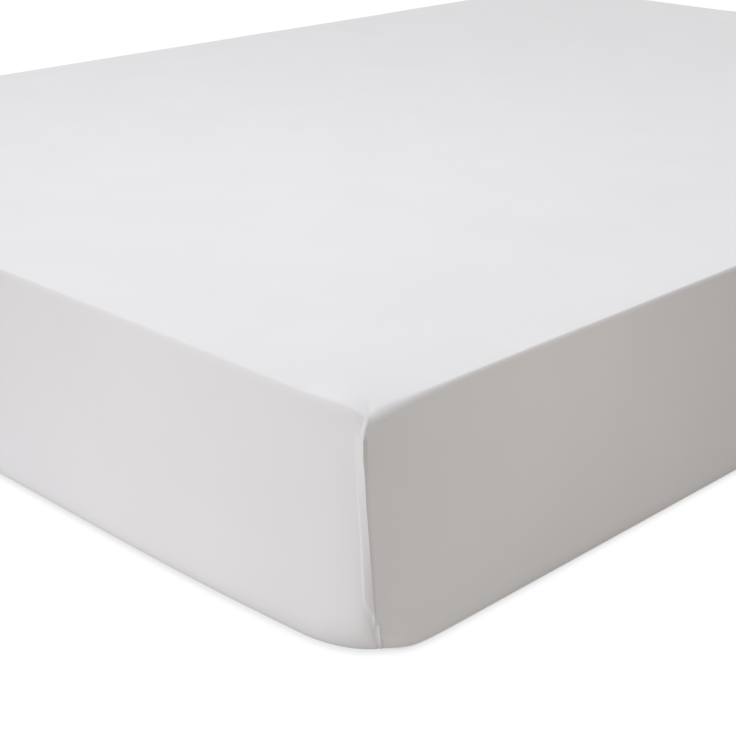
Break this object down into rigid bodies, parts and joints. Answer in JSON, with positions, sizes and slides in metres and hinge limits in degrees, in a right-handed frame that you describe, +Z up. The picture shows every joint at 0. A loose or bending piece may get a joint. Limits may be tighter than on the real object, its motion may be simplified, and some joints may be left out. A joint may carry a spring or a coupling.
{
  "type": "fitted sheet on mattress",
  "caption": "Plain cotton fitted sheet pulled taut over a plain mattress, with sewn box corners and a hemmed band drawn in underneath.",
  "frame": {"origin": "on the floor under the middle of the bed", "axes": "+Z up, +Y along the length of the bed, +X across it"},
  "size_m": [1.3558, 1.9058, 0.253],
  "materials": {
    "white_percale": "matt plain weave, smooth and taut",
    "mattress_ticking": "matt twill ticking"
  },
  "bodies": {
    "root": {"sheet": "white_percale", "mattress": "mattress_ticking"}
  },
  "joints": []
}
